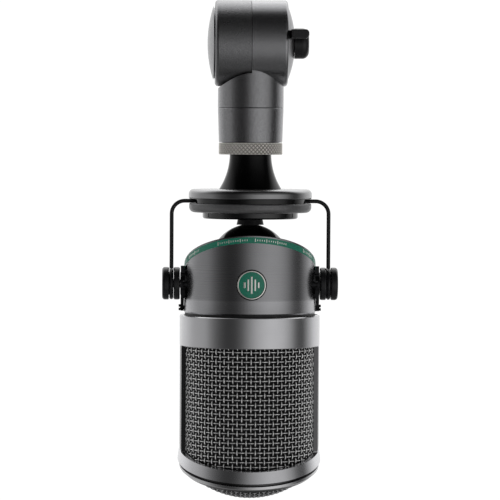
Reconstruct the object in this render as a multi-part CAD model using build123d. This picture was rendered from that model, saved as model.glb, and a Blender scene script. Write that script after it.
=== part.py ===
from build123d import *
import os
from math import cos, radians, sin, sqrt

# Suspended broadcast microphone, in millimetres, with Z up and its front facing -Y.
# Every piece is drawn about the centre of the swivel drum, with the microphone's own axis on Z.
# write_parts() then moves them all back, so that the mouth of the stand thread is the origin.

# Swivel drum and its two stems
DRUM_RADIUS = 19.2
DRUM_LEFT = -16.1
DRUM_RIGHT = 16.3
SEAM = 0.2
DRUM_ROUND = 1.5
STAND_SADDLE_RADIUS = DRUM_RADIUS + 0.3
ARM_SADDLE_RADIUS = DRUM_RADIUS + 0.9
STAND_STEM_RADIUS = 11.0
STAND_STEM_REACH = 32.0
ADAPTER_RADIUS = 7.9
THREAD_RADIUS = 4.0
THREAD_LENGTH = 12.0
CAP_RADIUS = 16.6
CAP_SKIRT_RADIUS = 15.8
CAP_SKIRT_DEPTH = 2.0
LEFT_CAP_RISE = 2.6
LEFT_CAP_GROOVE = 0.7
RIGHT_CAP_RISE = 3.3
BOLT_RADIUS = 3.95
BOLT_HOLE_RADIUS = 4.0
BOLT_WELL_RADIUS = 7.4
BOLT_WELL_FLOOR = -8.1
BOLT_END = 23.4
FRICTION_RING_RADIUS = 13.0
FRICTION_RING_BORE = 7.0
FRICTION_RING_DEPTH = 1.6
BUSH_RADIUS = 5.5

# Clamp lever
LEVER_HUB_RADIUS = 6.8
LEVER_START = 17.6
LEVER_END = 25.8
LEVER_ROUND = 3.0
LEVER_ARM_START = 17.2
LEVER_ARM_END = 24.9
LEVER_ARM_LENGTH = 25.0
LEVER_ARM_TOP = 5.5
LEVER_ARM_BOTTOM = 1.6
LEVER_CLEARANCE = 0.3
LEVER_WALL = 1.6

# Arm stem, connector sleeve and union nut
ARM_RADIUS = 14.7
ARM_BOTTOM = -28.7
SLEEVE_BOTTOM = -44.1
SLEEVE_BOTTOM_RADIUS = 14.2
SLEEVE_END = -47.0
NUT_TOP = -44.3
NUT_BOTTOM = -49.6
NUT_RADIUS = 14.25
NUT_FLOOR = -48.9
COUPLING_RADIUS = 12.8
PLUG_RADIUS = 9.4
PLUG_BORE = 8.5
CONTACT_CIRCLE = 4.75
PIN_RADIUS = 1.15
INLET_HEIGHT = -23.5
INLET_ROOF = -18.5
INLET_RADIUS = 3.0
INLET_MOUTH = 15.4

# Neck, isolator discs and boot
CONE_TOP = NUT_BOTTOM
CONE_BOTTOM = -65.0
CONE_TOP_RADIUS = 9.3
CONE_BOTTOM_RADIUS = 14.0
TUBE_RADIUS = 4.5
TUBE_BORE = 3.2
UPPER_DISC = (27.5, -69.3, CONE_BOTTOM)
LOWER_DISC = (27.3, -75.4, -71.3)
SPACER_RADIUS = 25.6
SPACER_BORE = 21.5
RETAINER = (21.3, -78.2, -75.6)
BOOT_BOTTOM = -80.9
CABLE_RADIUS = 2.6

# Wire yoke and tilt pivots
YOKE_X = 35.05
YOKE_TOP = -70.3
WIRE_RADIUS = 0.9
YOKE_BEND = 5.8
PIVOT_Z = -107.2
EYE_RADIUS = 6.3
EYE_CLEARANCE = 0.2
KNOB_RADIUS = 7.3
KNOB_START = 36.15
KNOB_END = 39.2
BUSH_START = 31.3
BUSH_END = 34.05
STUD_RADIUS = 2.0
STUD_START = 27.2
STUD_END = 37.6
STUD_HOLE_RADIUS = 2.05

# Microphone body: a cylinder whose top slants down towards the back
BODY_RADIUS = 29.3
BODY_BORE = 26.8
TOP_SLOPE = -24.0
LID_TOP = -97.8
RIM_TOP = -98.2
BAND_TOP = -98.7
BAND_BOTTOM = -101.3
BAND_SEAT = 28.7
LID_BOTTOM = -100.2
FLANK = 28.0
FLANK_BOTTOM = -113.7
BODY_BOTTOM = -120.0
LIP_RADIUS = 29.5
DOME_RADIUS = 18.0
DOME_CENTRE = -98.6
DOME_WALL = 1.4
PLATE_FACE = 29.0
PLATE_LEG = 30.9
PLATE_SCREW_Y = 6.5
PLATE_BOSS = 31.1
LIP_SCREW_Z = -117.9
LIP_SCREW_HOLE = 0.8
BOSS_CIRCLE = 24.0
BOSS_ANGLES = (45, 135, 225, 315)
BASE_TOP = -116.2
BASE_FLOOR = -119.2
BASE_BOTTOM = -121.0
BADGE_RADIUS = 6.8
BADGE_Z = -106.6
BADGE_FACE = 29.75

# Head grille: its lower end slants the other way, down towards the front
GRILLE_TOP = -121.1
GRILLE_BAND_BOTTOM = -134.7
GRILLE_RADIUS = 31.3
GRILLE_BORE = 29.4
STRUT_HALF_WIDTH = 6.4
STRUT_DRAFT = 12.0
END_SLOPE = 15.0
RING_TOP = -180.2
RING_BOTTOM = -185.2
RING_BOTTOM_RADIUS = 32.0
END_RING_TOP = -186.8
END_RING_EDGE = -187.9
END_RING_BOTTOM = -189.7
END_GROOVE_RADIUS = 29.9
END_BORE = 27.8
MESH_OUTER = 29.3
MESH_INNER = 28.2
GAUZE_OUTER = 28.0
GAUZE_INNER = 27.7
MESH_TOP = -130.9
MESH_BOTTOM = -181.9
CROWN_RADIUS = 38.6
CROWN_CENTRE = (0, -6.7, -163.9)
CROWN_WALL = 1.1
CROWN_TOP = -188.0
LUG_ANGLES = (30, 150, 270)
LUG_HALF_ANGLE = 7.0
TWIST = 20.0

# Ribbon motor
MOTOR_TOP = -128.0
MOTOR_BOTTOM = -180.0
RIBBON_WIDTH = 4.8
RIBBON_LENGTH = 46.0
RIBBON_CENTRE = -154.0

REACH = 240.0


def disc(radius, low, high):
    """A cylinder about Z between two heights."""
    return Pos(0, 0, (low + high) / 2) * Cylinder(radius, high - low)


def tube(outer, inner, low, high):
    """A ring about Z between two heights."""
    return disc(outer, low, high) - disc(inner, low, high)


def along_x(radius, start, end):
    """A cylinder about the drum's axis, X."""
    return Pos((start + end) / 2, 0, 0) * Rot(0, 90, 0) * Cylinder(radius, end - start)


def along_y(radius, start, end):
    """A cylinder about Y."""
    return Pos(0, (start + end) / 2, 0) * Rot(90, 0, 0) * Cylinder(radius, end - start)


def turned(points):
    """The solid turned about Z from an outline of (radius, height) points."""
    outline = Polyline([(radius, 0, height) for radius, height in points], close=True)
    return revolve(make_face(outline), axis=Axis.Z)


def half_space(height, slope, upper):
    """Everything above or below the plane that crosses Z at height and is tilted about X."""
    shift = REACH / 2 if upper else -REACH / 2
    return Pos(0, 0, height) * Rot(slope, 0, 0) * Pos(0, 0, shift) * Box(REACH, REACH, REACH)


def slab(solid, low, high, slope):
    """The part of a solid between two parallel tilted planes."""
    return solid & half_space(high, slope, False) & half_space(low, slope, True)


def sector(outer, inner, start, end, low, high):
    """Part of a ring about Z, between two angles less than 90 degrees apart."""
    far = outer * 2
    corners = [(0, 0)] + [(far * cos(radians(a)), far * sin(radians(a))) for a in (start, end)]
    wedge = Pos(0, 0, low) * extrude(make_face(Polyline(corners, close=True)), high - low)
    return tube(outer, inner, low, high) & wedge


def around(radius, angles, solid):
    """Copies of a solid, moved out from Z along X and turned to each angle."""
    return [Rot(0, 0, angle) * Pos(radius, 0, 0) * solid for angle in angles]


def joined(solids):
    """Several solids as one shape."""
    return Compound([piece for solid in solids for piece in solid.solids()])


def both_sides(solid):
    """A solid on the right and its mirror image on the left."""
    return joined([solid, mirror(solid, about=Plane.YZ)])


def cap_dome(face, rise, side, growth=0.0):
    """The shallow dome of a drum cap on the face at X = face, bulging along side."""
    height = rise + growth
    edge = CAP_RADIUS + growth
    radius = (edge**2 + height**2) / (2 * height)
    half_way = sqrt(radius**2 - edge**2 / 4) - (radius - height)
    top = (face + side * height, 0, 0)
    arc = ThreePointArc((face, 0, edge), (face + side * half_way, 0, edge / 2), top)
    base = Polyline(top, (face, 0, 0), (face, 0, edge))
    return revolve(make_face([arc, base]), axis=Axis.X)


# Boom mount


def swivel_mount_half():
    """Left half of the drum, with the stem that screws on the stand."""
    drum = along_x(DRUM_RADIUS, DRUM_LEFT, -SEAM / 2)
    drum = fillet(drum.edges().filter_by(GeomType.CIRCLE).group_by(Axis.X)[0], DRUM_ROUND)
    stem = along_y(STAND_STEM_RADIUS, 0, STAND_STEM_REACH)
    stem = fillet(stem.edges().filter_by(GeomType.CIRCLE).group_by(Axis.Y)[-1], 0.8)
    stem -= along_x(STAND_SADDLE_RADIUS, -SEAM / 2, DRUM_RIGHT)
    half = drum + stem
    half -= along_x(CAP_SKIRT_RADIUS, DRUM_LEFT, DRUM_LEFT + CAP_SKIRT_DEPTH)
    half -= along_x(BOLT_WELL_RADIUS, DRUM_LEFT, BOLT_WELL_FLOOR)
    half -= along_x(BOLT_HOLE_RADIUS, DRUM_LEFT, 0)
    half -= along_x(FRICTION_RING_RADIUS, -FRICTION_RING_DEPTH, 0)
    half -= along_y(ADAPTER_RADIUS, STAND_STEM_REACH - THREAD_LENGTH, STAND_STEM_REACH)
    return half


def thread_adapter():
    """Brass adapter in the stand stem."""
    start = STAND_STEM_REACH - THREAD_LENGTH
    adapter = along_y(ADAPTER_RADIUS, start, STAND_STEM_REACH)
    return adapter - along_y(THREAD_RADIUS, start, STAND_STEM_REACH)


def mount_cap():
    """Domed cover over the head of the pivot bolt."""
    face = DRUM_LEFT - LEFT_CAP_GROOVE
    skirt = along_x(CAP_SKIRT_RADIUS - 0.1, face, DRUM_LEFT + CAP_SKIRT_DEPTH)
    return cap_dome(face, LEFT_CAP_RISE, -1) + skirt


def pivot_bolt():
    """Bolt that clamps the two halves of the drum together."""
    head_end = BOLT_WELL_FLOOR
    hexagon = Plane.YZ.offset(head_end - 3.8) * RegularPolygon(6.6, 6)
    return extrude(hexagon, 3.8) + along_x(BOLT_RADIUS, head_end, BOLT_END)


def friction_ring():
    """Brake ring let into the left half, against the face of the right half."""
    ring = along_x(FRICTION_RING_RADIUS, -FRICTION_RING_DEPTH, 0)
    return ring - along_x(FRICTION_RING_BORE, -FRICTION_RING_DEPTH, 0)


# Swivel arm


def swivel_arm_half():
    """Right half of the drum, with the stem that carries the microphone."""
    drum = along_x(DRUM_RADIUS, SEAM / 2, DRUM_RIGHT)
    drum = fillet(drum.edges().filter_by(GeomType.CIRCLE).group_by(Axis.X)[-1], DRUM_ROUND)
    stem = disc(ARM_RADIUS, ARM_BOTTOM, 0) - along_x(ARM_SADDLE_RADIUS, DRUM_LEFT, SEAM / 2)
    half = drum + stem
    half -= along_x(CAP_SKIRT_RADIUS, DRUM_RIGHT - CAP_SKIRT_DEPTH, DRUM_RIGHT)
    half -= along_x(BUSH_RADIUS, 0, DRUM_RIGHT)
    half -= disc(9.5, ARM_BOTTOM, INLET_ROOF)
    half -= Pos(0, 0, INLET_HEIGHT) * along_y(4.2, 0, ARM_RADIUS + 1)
    return half


def arm_cap():
    """Domed cover round the bolt, under the clamp lever."""
    skirt = along_x(CAP_SKIRT_RADIUS - 0.1, DRUM_RIGHT - CAP_SKIRT_DEPTH, DRUM_RIGHT)
    cap = cap_dome(DRUM_RIGHT, RIGHT_CAP_RISE, 1) + skirt
    return cap - along_x(BOLT_HOLE_RADIUS + 0.3, 0, DRUM_RIGHT + RIGHT_CAP_RISE)


def pivot_bush():
    """Bearing bush of the arm on the pivot bolt."""
    end = DRUM_RIGHT - CAP_SKIRT_DEPTH
    return along_x(BUSH_RADIUS, SEAM / 2, end) - along_x(BOLT_HOLE_RADIUS, SEAM / 2, end)


def cable_grommet():
    """Rubber grommet where the microphone cable enters the back of the arm."""
    flange = along_y(5.0, 12.5, INLET_MOUTH) - disc(ARM_RADIUS, -REACH, REACH)
    flange = flange.solids().sort_by(Axis.Y)[-1]
    neck = along_y(4.2, 10.0, INLET_MOUTH) - Pos(0, 0, -INLET_HEIGHT) * disc(9.6, ARM_BOTTOM, INLET_ROOF)
    grommet = flange + neck - along_y(INLET_RADIUS, 9.0, INLET_MOUTH)
    return Pos(0, 0, INLET_HEIGHT) * grommet


def connector_sleeve():
    """Sleeve that holds the cable socket and carries the thread of the union nut."""
    sleeve = turned(
        [
            (9.8, SLEEVE_END),
            (COUPLING_RADIUS, SLEEVE_END),
            (COUPLING_RADIUS, SLEEVE_BOTTOM),
            (SLEEVE_BOTTOM_RADIUS, SLEEVE_BOTTOM),
            (ARM_RADIUS, ARM_BOTTOM - 0.4),
            (ARM_RADIUS - 0.3, ARM_BOTTOM),
            (9.4, ARM_BOTTOM),
            (9.4, ARM_BOTTOM + 1.8),
            (8.3, ARM_BOTTOM + 1.8),
            (8.3, -33.0),
            (9.8, -33.0),
        ]
    )
    return sleeve - grub_screw_seats(1.25)


def grub_screw_seats(radius):
    """The two grub screws, or their holes, at the back of the sleeve."""
    seat = Pos(12.1, 0, -36.5) * Rot(0, 90, 0) * Cylinder(radius, 4.2)
    return [Rot(0, 0, angle) * seat for angle in (50, 130)]


def sleeve_screws():
    """Grub screws that hold the sleeve on the arm, with hexagon sockets."""
    socket = Plane.YZ.offset(13.2) * Pos(0, -36.5) * RegularPolygon(0.7, 6)
    sockets = [Rot(0, 0, angle) * extrude(socket, 2) for angle in (50, 130)]
    return joined([screw - sockets for screw in grub_screw_seats(1.25)])


def contact_places():
    """Angles of the three contacts of the connector."""
    return (90, 210, 330)


def socket_insert():
    """Insulator of the cable socket."""
    holes = around(CONTACT_CIRCLE, contact_places(), disc(1.6, -46.0, -33.1))
    return disc(8.2, -46.0, -33.1) - holes


def socket_contacts():
    """Three sprung contact tubes in the socket."""
    return joined(around(CONTACT_CIRCLE, contact_places(), tube(1.6, 1.25, -45.8, -31.5)))


def spigot_cone():
    """Black trumpet-shaped neck, with the plug barrel that enters the sleeve."""
    arc = ThreePointArc(
        (CONE_TOP_RADIUS, 0, CONE_TOP), (10.75, 0, -58.2), (CONE_BOTTOM_RADIUS, 0, CONE_BOTTOM)
    )
    outline = Polyline(
        (CONE_BOTTOM_RADIUS, 0, CONE_BOTTOM),
        (TUBE_RADIUS, 0, CONE_BOTTOM),
        (TUBE_RADIUS, 0, -52.0),
        (PLUG_BORE, 0, -52.0),
        (PLUG_BORE, 0, -38.5),
        (PLUG_RADIUS, 0, -38.5),
        (PLUG_RADIUS, 0, SLEEVE_END),
        (COUPLING_RADIUS - 0.3, 0, SLEEVE_END),
        (COUPLING_RADIUS - 0.3, 0, NUT_FLOOR + 0.3),
        (CONE_TOP_RADIUS, 0, NUT_FLOOR + 0.3),
        (CONE_TOP_RADIUS, 0, CONE_TOP),
    )
    return revolve(make_face([arc, outline]), axis=Axis.Z)


def plug_insert():
    """Insulator that carries the plug's pins."""
    holes = around(CONTACT_CIRCLE, contact_places(), disc(PIN_RADIUS, -52.0, -48.0))
    return disc(PLUG_BORE, -52.0, -48.0) - holes


def plug_pins():
    """Three pins of the plug."""
    return joined(around(CONTACT_CIRCLE, contact_places(), disc(PIN_RADIUS, -52.0, -35.5)))


def neck_tube():
    """Threaded tube through the discs, with a collar that keeps them apart."""
    bottom = RETAINER[1]
    shape = disc(TUBE_RADIUS, bottom, -53.5) + disc(6.2, LOWER_DISC[2], UPPER_DISC[1])
    return shape - disc(TUBE_BORE, bottom, -53.5)


def signal_cable():
    """Cable from the plug down through the neck tube."""
    return disc(CABLE_RADIUS, -79.4, -53.8)


def rounded_disc(radius, low, high, top_round, bottom_round):
    """A disc about Z with its two edges rounded."""
    shape = disc(radius, low, high)
    shape = fillet(shape.edges().group_by(Axis.Z)[-1], top_round)
    return fillet(shape.edges().group_by(Axis.Z)[0], bottom_round)


def upper_isolator():
    """Upper moulded disc of the elastic suspension."""
    return rounded_disc(*UPPER_DISC, 2.2, 0.6) - disc(TUBE_RADIUS, *UPPER_DISC[1:]) - screw_shanks()


def lower_isolator():
    """Lower moulded disc of the elastic suspension."""
    return rounded_disc(*LOWER_DISC, 0.6, 2.4) - disc(TUBE_RADIUS, *LOWER_DISC[1:]) - screw_shanks()


def spacer_ring():
    """Glossy ring between the two discs, notched for the yoke wire."""
    ring = tube(SPACER_RADIUS, SPACER_BORE, LOWER_DISC[2], UPPER_DISC[1])
    notch = Box(3 * SPACER_RADIUS, 2.6, 4)
    return joined([ring - Pos(0, 0, YOKE_TOP) * notch])


def screw_shanks():
    """Shanks of the three screws that clamp the discs."""
    return around(14.0, contact_places(), disc(1.5, -77.0, -66.5))


def retaining_disc():
    """Glossy plate that clamps the discs from below."""
    radius, low, high = RETAINER
    plate = disc(radius, low, high)
    plate = fillet(plate.edges().group_by(Axis.Z)[0], 1.0)
    return plate - disc(TUBE_RADIUS, low, high) - around(14.0, contact_places(), countersink())


def countersink():
    """Countersunk head of a disc screw, with its shank below the plate's upper face."""
    low, high = RETAINER[1:]
    head = Pos(0, 0, low + 0.75) * Cone(2.9, 1.5, 1.5)
    return head + disc(1.5, low + 0.75, high)


def disc_screws():
    """Three countersunk screws through the retaining disc."""
    low = RETAINER[1]
    recess = Pos(0, 0, low + 0.6) * (Box(2.6, 0.7, 1.2) + Box(0.7, 2.6, 1.2))
    screw = countersink() + disc(1.5, low + 1.0, -66.5) - recess
    return joined(around(14.0, contact_places(), screw))


def cable_boot():
    """Rubber boot under the neck, hollowed to clear the dome as the body tilts."""
    low = BOOT_BOTTOM - 0.4
    high = RETAINER[1]
    boot = turned(
        [
            (TUBE_BORE, low),
            (6.2, low),
            (6.1, BOOT_BOTTOM),
            (5.5, high),
            (TUBE_BORE, high),
        ]
    )
    return boot - Pos(0, 0, DOME_CENTRE) * Sphere(DOME_RADIUS + 0.75)


def yoke_wire():
    """Bent wire that carries the body, with an eye at each end."""
    foot = PIVOT_Z + EYE_RADIUS
    side = [(YOKE_X, 0, foot), (YOKE_X, 0, YOKE_TOP), (11.5, 0, YOKE_TOP), (7.0, 8.0, YOKE_TOP)]
    route = side + [(-x, y, z) for x, y, z in reversed(side)]
    path = FilletPolyline(route, radius=[YOKE_BEND, 4, 4, 4, 4, YOKE_BEND])
    section = Plane(origin=path @ 0, z_dir=path % 0) * Circle(WIRE_RADIUS)
    eye = Pos(YOKE_X, 0, PIVOT_Z) * Rot(0, 90, 0) * Torus(EYE_RADIUS, WIRE_RADIUS)
    return sweep(section, path) + eye + mirror(eye, about=Plane.YZ)


def at_pivot(solid):
    """A solid about X, moved down to the tilt axis."""
    return Pos(0, 0, PIVOT_Z) * solid


def pivot_bushes():
    """Plain black bushes between the body and the eyes of the yoke."""
    bush = along_x(KNOB_RADIUS, BUSH_START, BUSH_END)
    bush = fillet(bush.edges().filter_by(GeomType.CIRCLE), 0.7)
    return both_sides(at_pivot(bush - along_x(STUD_HOLE_RADIUS, BUSH_START, BUSH_END)))


# Union nut and clamp lever


def union_nut():
    """Nickel union nut, free to turn on the sleeve."""
    nut = turned(
        [
            (CONE_TOP_RADIUS + 0.35, NUT_BOTTOM),
            (NUT_RADIUS - 0.35, NUT_BOTTOM),
            (NUT_RADIUS, NUT_BOTTOM + 0.35),
            (NUT_RADIUS, NUT_TOP - 0.35),
            (NUT_RADIUS - 0.35, NUT_TOP),
            (COUPLING_RADIUS + 0.1, NUT_TOP),
            (COUPLING_RADIUS + 0.1, NUT_FLOOR),
            (CONE_TOP_RADIUS + 0.35, NUT_FLOOR),
        ]
    )
    return nut


def clamp_lever():
    """Lever on the end of the pivot bolt, with its arm pointing forwards."""
    hub = along_x(LEVER_HUB_RADIUS, LEVER_START, LEVER_END)
    hub = fillet(hub.edges().filter_by(GeomType.CIRCLE).group_by(Axis.X)[-1], LEVER_ROUND)
    lever = hub + lever_arm() - cap_dome(DRUM_RIGHT, RIGHT_CAP_RISE, 1, LEVER_CLEARANCE)
    return lever - along_x(BOLT_HOLE_RADIUS, LEVER_START, LEVER_END - LEVER_WALL)


def lever_arm():
    """Flat bar across the front of the lever's hub."""
    width = LEVER_ARM_END - LEVER_ARM_START
    height = LEVER_ARM_TOP - LEVER_ARM_BOTTOM
    bar = Box(width, LEVER_ARM_LENGTH, height)
    corners = bar.edges().filter_by(Axis.Y).group_by(Axis.X)
    bar = fillet(corners[-1], 1.6)
    bar = fillet(bar.edges().group_by(Axis.Y)[0], 0.6)
    middle = (LEVER_ARM_START + LEVER_ARM_END) / 2
    return Pos(middle, -LEVER_ARM_LENGTH / 2, LEVER_ARM_BOTTOM + height / 2) * bar


# Tilt knobs


def right_knob():
    """Moulded tilt knob on the right, with a shoulder inside the eye of the yoke."""
    knob = along_x(KNOB_RADIUS, KNOB_START, KNOB_END)
    edges = knob.edges().filter_by(GeomType.CIRCLE).group_by(Axis.X)
    knob = fillet(edges[-1], 1.3)
    knob = fillet(knob.edges().filter_by(GeomType.CIRCLE).group_by(Axis.X)[0], 0.5)
    knob += along_x(EYE_RADIUS - WIRE_RADIUS - EYE_CLEARANCE, BUSH_END + 0.1, KNOB_START)
    return at_pivot(knob - along_x(STUD_RADIUS, BUSH_END, STUD_END))


def right_knob_stud():
    """Steel stud of the right knob, through the bush into the pivot plate."""
    return at_pivot(along_x(STUD_RADIUS, STUD_START, STUD_END))


def left_knob():
    """Moulded tilt knob on the left."""
    return mirror(right_knob(), about=Plane.YZ)


def left_knob_stud():
    """Steel stud of the left knob."""
    return mirror(right_knob_stud(), about=Plane.YZ)


# Microphone body


def rear_housing():
    """Turned aluminium housing, with its slanted top and the two flat flanks."""
    lip = (LIP_RADIUS, 0, BODY_BOTTOM + 0.6)
    flare = ThreePointArc((BODY_RADIUS, 0, -112.0), (29.31, 0, -115.4), lip)
    outline = Polyline(
        lip,
        (LIP_RADIUS - 0.3, 0, BODY_BOTTOM),
        (BODY_BORE, 0, BODY_BOTTOM),
        (BODY_BORE, 0, -80.0),
        (BODY_RADIUS, 0, -80.0),
        (BODY_RADIUS, 0, -112.0),
    )
    shell = revolve(make_face([flare, outline]), axis=Axis.Z)
    shell = shell & half_space(RIM_TOP, TOP_SLOPE, False)
    shell -= slab(tube(BODY_RADIUS + 2, BAND_SEAT, -130, -70), BAND_BOTTOM, BAND_TOP, TOP_SLOPE)
    flank = Pos(FLANK + 5, 0, FLANK_BOTTOM + 20) * Box(10, 40, 40)
    flank = flank & half_space(BAND_BOTTOM - 0.6, TOP_SLOPE, False)
    shell -= both_sides(flank)
    bosses = [boss & half_space(LID_BOTTOM, TOP_SLOPE, False) for boss in boss_columns()]
    shell += bosses
    shell -= around(BOSS_CIRCLE, BOSS_ANGLES, disc(1.25, BASE_TOP, -80))
    shell -= at_pivot(along_x(2.6, -40, 40))
    shell -= [Pos(0, y, 0) * at_pivot(along_x(0.8, -40, 40)) for y in (-PLATE_SCREW_Y, PLATE_SCREW_Y)]
    return shell - Pos(0, 0, LIP_SCREW_Z) * along_x(LIP_SCREW_HOLE, -40, 40)


def boss_columns():
    """Four screw bosses down the inside of the housing."""
    column = disc(3.2, BASE_TOP, -80)
    inside = disc(BODY_BORE + 0.5, -130, -70)
    return [boss & inside for boss in around(BOSS_CIRCLE, BOSS_ANGLES, column)]


def top_lid():
    """Black lid in the slanted top of the housing."""
    plate = slab(disc(29.0, -130, -70), RIM_TOP, LID_TOP, TOP_SLOPE)
    plug = slab(disc(BODY_BORE - 0.1, -130, -70), LID_BOTTOM, RIM_TOP, TOP_SLOPE)
    lid = plate + plug - Pos(0, -4, 0) * disc(8.5, -130, -70)
    for well in lid_screw_wells():
        lid -= well
    return lid


def lid_height(angle):
    """Height of the lid's upper face over a boss."""
    back = BOSS_CIRCLE * sin(radians(angle))
    return LID_TOP + back * sin(radians(TOP_SLOPE)) / cos(radians(TOP_SLOPE))


def lid_screw_wells():
    """Counterbored seats of the lid screws."""
    wells = []
    for angle in BOSS_ANGLES:
        top = lid_height(angle)
        seat = disc(2.6, top - 1.2, top + 4) + disc(1.25, top - 8, top)
        wells += around(BOSS_CIRCLE, (angle,), seat)
    return wells


def lid_screws():
    """Four screws that hold the lid, with hexagon sockets."""
    screws = []
    for angle in BOSS_ANGLES:
        top = lid_height(angle) - 1.2
        socket = Pos(0, 0, top + 0.5) * extrude(RegularPolygon(1.2, 6), 2)
        screw = disc(2.3, top, top + 1.5) + disc(1.2, top - 5, top) - socket
        screws += around(BOSS_CIRCLE, (angle,), screw)
    return joined(screws)


def dome_cover():
    """Glossy dome over the cable entry, standing on the lid."""
    shell = Sphere(DOME_RADIUS) - Sphere(DOME_RADIUS - DOME_WALL)
    shell = Pos(0, 0, DOME_CENTRE) * shell & half_space(LID_TOP, TOP_SLOPE, True)
    return shell - disc(3.0, -90, -70)


def trim_band():
    """Enamelled band round the housing, parallel to its slanted top."""
    return slab(tube(BODY_RADIUS + 0.05, BAND_SEAT, -130, -70), BAND_BOTTOM, BAND_TOP, TOP_SLOPE)


def plate_outline(*circles):
    """Hull round circles on the side view of the tilt axis, each (depth, height, radius)."""
    rounds = [Pos(depth, PIVOT_Z + height) * Circle(radius) for depth, height, radius in circles]
    return make_hull([edge for circle in rounds for edge in circle.edges()])


def pivot_plates():
    """Pivot plate on each flank, with a threaded boss for the knob's stud."""
    ears = plate_outline((-PLATE_SCREW_Y, 0, 1.9), (0, 0, 5.8), (PLATE_SCREW_Y, 0, 1.9))
    leg = plate_outline((0, -1.0, 4.6), (0, LIP_SCREW_Z - PIVOT_Z, 1.6))
    face = Plane.YZ.offset(FLANK)
    plate = extrude(face * ears, PLATE_FACE - FLANK) + extrude(face * leg, PLATE_LEG - FLANK)
    plate += at_pivot(along_x(5.1, FLANK, PLATE_BOSS))
    tab = Pos((FLANK + PLATE_LEG) / 2, 0, PIVOT_Z + 4.5) * Box(PLATE_LEG - FLANK, 4.4, 6.8)
    plate += fillet(tab.edges().filter_by(Axis.X).group_by(Axis.Z)[-1], 0.6)
    plate -= disc(BODY_RADIUS + 0.1, -130, -70) & half_space(BAND_BOTTOM - 0.65, TOP_SLOPE, True)
    plate -= disc(LIP_RADIUS + 0.05, BODY_BOTTOM, FLANK_BOTTOM + 0.1)
    plate -= Pos(0, 0, LIP_SCREW_Z) * along_x(LIP_SCREW_HOLE, FLANK, 40)
    plate -= at_pivot(along_x(STUD_HOLE_RADIUS, FLANK - 1, 40))
    plate -= [Pos(0, y, 0) * at_pivot(along_x(0.8, 25, 40)) for y in (-PLATE_SCREW_Y, PLATE_SCREW_Y)]
    return both_sides(plate)


def slotted_screw(radius, face, end, tip):
    """A slotted screw along X, with its head on a face."""
    screw = along_x(radius, face, end) + along_x(0.8, tip, face)
    return screw - Pos(end, 0, 0) * Box(1.3, 4, 0.5)


def plate_screws():
    """Screws on each side of the pivots."""
    screw = at_pivot(slotted_screw(1.4, PLATE_FACE, PLATE_FACE + 1.0, 25.8))
    return both_sides(joined([Pos(0, y, 0) * screw for y in (-PLATE_SCREW_Y, PLATE_SCREW_Y)]))


def lip_screws():
    """Black slotted screws through the foot of each pivot plate into the base plate."""
    return both_sides(Pos(0, 0, LIP_SCREW_Z) * slotted_screw(1.4, PLATE_LEG, PLATE_LEG + 0.9, 24.0))


def badge():
    """Round badge, curved to lie on the front of the housing."""
    shell = tube(BADGE_FACE, BODY_RADIUS, -125, -90)
    return shell & (Pos(0, 0, BADGE_Z) * along_y(BADGE_RADIUS, -40, -20))


def base_plate():
    """Floor of the housing, which carries the motor and the transformer."""
    plate = disc(BODY_BORE - 0.1, BASE_BOTTOM, BASE_TOP) - disc(20.0, BASE_FLOOR, BASE_TOP)
    plate -= around(BOSS_CIRCLE, BOSS_ANGLES, disc(1.25, BASE_BOTTOM, BASE_TOP))
    plate -= [Pos(x, 7.0, 0) * disc(0.9, BASE_BOTTOM, BASE_FLOOR) for x in (-4, 4)]
    return plate - Pos(0, 0, LIP_SCREW_Z) * (along_x(0.8, 23, 40) + along_x(0.8, -40, -23))


def base_screws():
    """Four screws up through the bayonet ring and the base plate."""
    low = BASE_BOTTOM - 1.6
    screw = disc(2.2, low - 1.4, low) + disc(1.2, low, -112.0)
    return joined(around(BOSS_CIRCLE, BOSS_ANGLES, screw))


def bayonet_ring():
    """Ring under the housing, with three lugs that hold the head grille."""
    ring = turned(
        [
            (22.0, BASE_BOTTOM - 1.6),
            (22.0, BASE_BOTTOM),
            (29.2, BASE_BOTTOM),
            (29.2, -128.6),
            (27.2, -128.6),
            (27.2, BASE_BOTTOM - 1.6),
        ]
    )
    ring -= around(BOSS_CIRCLE, BOSS_ANGLES, disc(1.25, -123, BASE_BOTTOM))
    for angle in LUG_ANGLES:
        ring += sector(30.3, 28.5, angle - LUG_HALF_ANGLE, angle + LUG_HALF_ANGLE, -126.0, -124.0)
    return ring


def seal_ring():
    """Black rubber ring in the seam between housing and grille."""
    return tube(29.0, 27.0, BASE_BOTTOM, BODY_BOTTOM)


def transformer_can():
    """Screening can of the output transformer."""
    can = disc(10.5, BASE_FLOOR, -104.6) - disc(9.7, BASE_FLOOR, -105.4)
    return Pos(0, -5, 0) * can


def terminal_board():
    """Circuit board behind the badge, with its terminals."""
    board = Pos(0, -21, (BASE_TOP - 97.5) / 2) * Box(26, 1.6, -97.5 - BASE_TOP)
    pads = [Pos(x, -19.6, -101.5) * Box(2.4, 1.2, 2.4) for x in (-8, -4, 0, 4, 8)]
    return board + pads


def body_lead():
    """Cable inside the dome and the housing, from the cable entry to the board."""
    path = FilletPolyline([(0, 0, -83.5), (0, 0, -93.5), (0, -17.8, -102.5)], radius=7.0)
    section = Plane(origin=path @ 0, z_dir=path % 0) * Circle(2.2)
    return sweep(section, path)


def motor_mounts():
    """Four rubber bushes between the base plate and the motor."""
    post = disc(1.9, MOTOR_TOP, BASE_BOTTOM)
    return joined([Pos(x, y, 0) * post for x in (-11, 11) for y in (-2.8, 2.8)])


def motor_frame():
    """Frame that holds the magnets on either side of the ribbon."""
    middle = (MOTOR_TOP + MOTOR_BOTTOM) / 2
    height = MOTOR_TOP - MOTOR_BOTTOM
    frame = Box(30, 10, height) - Box(22.2, 12, height - 5)
    return Pos(0, 0, middle) * fillet(frame.edges().filter_by(Axis.Z).group_by(Axis.X)[-1], 1.5)


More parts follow.
